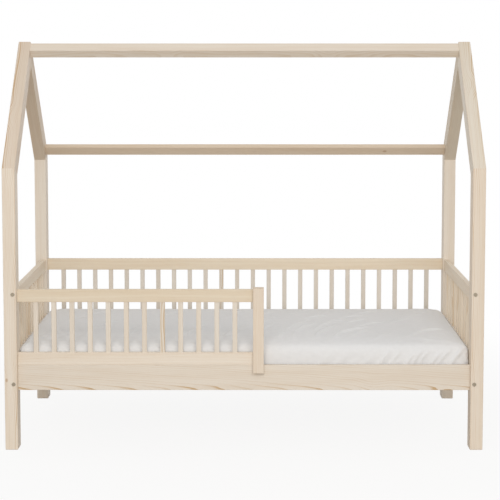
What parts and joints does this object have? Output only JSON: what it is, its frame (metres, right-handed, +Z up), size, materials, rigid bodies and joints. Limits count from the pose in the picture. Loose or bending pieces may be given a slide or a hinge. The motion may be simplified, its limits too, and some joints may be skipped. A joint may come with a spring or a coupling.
{
  "type": "toddler bed",
  "caption": "Low house-frame toddler bed in pale pine: four posts, mitred gable rafters, ridge and eave beams, slatted guards with an entry gap, slatted base and a sheeted mattress.",
  "frame": {"origin": "on the floor, under the centre of the bed", "axes": "+X along the bed with the short guard on the -X half, +Y from the entry side to the wall side, +Z up"},
  "size_m": [1.69, 0.884, 1.442],
  "materials": {
    "pine": "planed and sanded pale pine under a thin white-pigmented matt varnish",
    "beech": "raw turned beech dowel",
    "zinc_steel": "dull zinc plating",
    "bedding": "white cotton fitted sheet over a foam mattress",
    "webbing": "woven polyester tape"
  },
  "bodies": {
    "frame": {"front_left_post": "pine", "front_right_post": "pine", "back_left_post": "pine", "back_right_post": "pine", "front_left_rafter": "pine", "front_right_rafter": "pine", "back_left_rafter": "pine", "back_right_rafter": "pine", "ridge_beam": "pine", "back_eave_purlin": "pine", "front_side_board": "pine", "back_side_board": "pine", "left_end_board": "pine", "right_end_board": "pine", "front_guard_top_rail": "pine", "front_guard_bottom_rail": "pine", "front_guard_slats": "pine", "front_guard_end_post": "pine", "back_guard_top_rail": "pine", "back_guard_bottom_rail": "pine", "back_guard_slats": "pine", "left_end_top_rail": "pine", "left_end_bottom_rail": "pine", "left_end_slats": "pine", "right_end_top_rail": "pine", "right_end_bottom_rail": "pine", "right_end_slats": "pine", "front_slat_ledge": "pine", "back_slat_ledge": "pine", "base_slats": "pine", "slat_tapes": "webbing", "short_bolts": "zinc_steel", "long_bolts": "zinc_steel", "barrel_nuts": "zinc_steel", "dowels": "beech", "wood_screws": "zinc_steel"},
    "mattress": {"mattress": "bedding"}
  },
  "joints": [
    {"name": "mattress_lift", "type": "slide", "parent": "frame", "child": "mattress", "axis": [0, 0, 1], "range_m": [0, 0.35]}
  ]
}
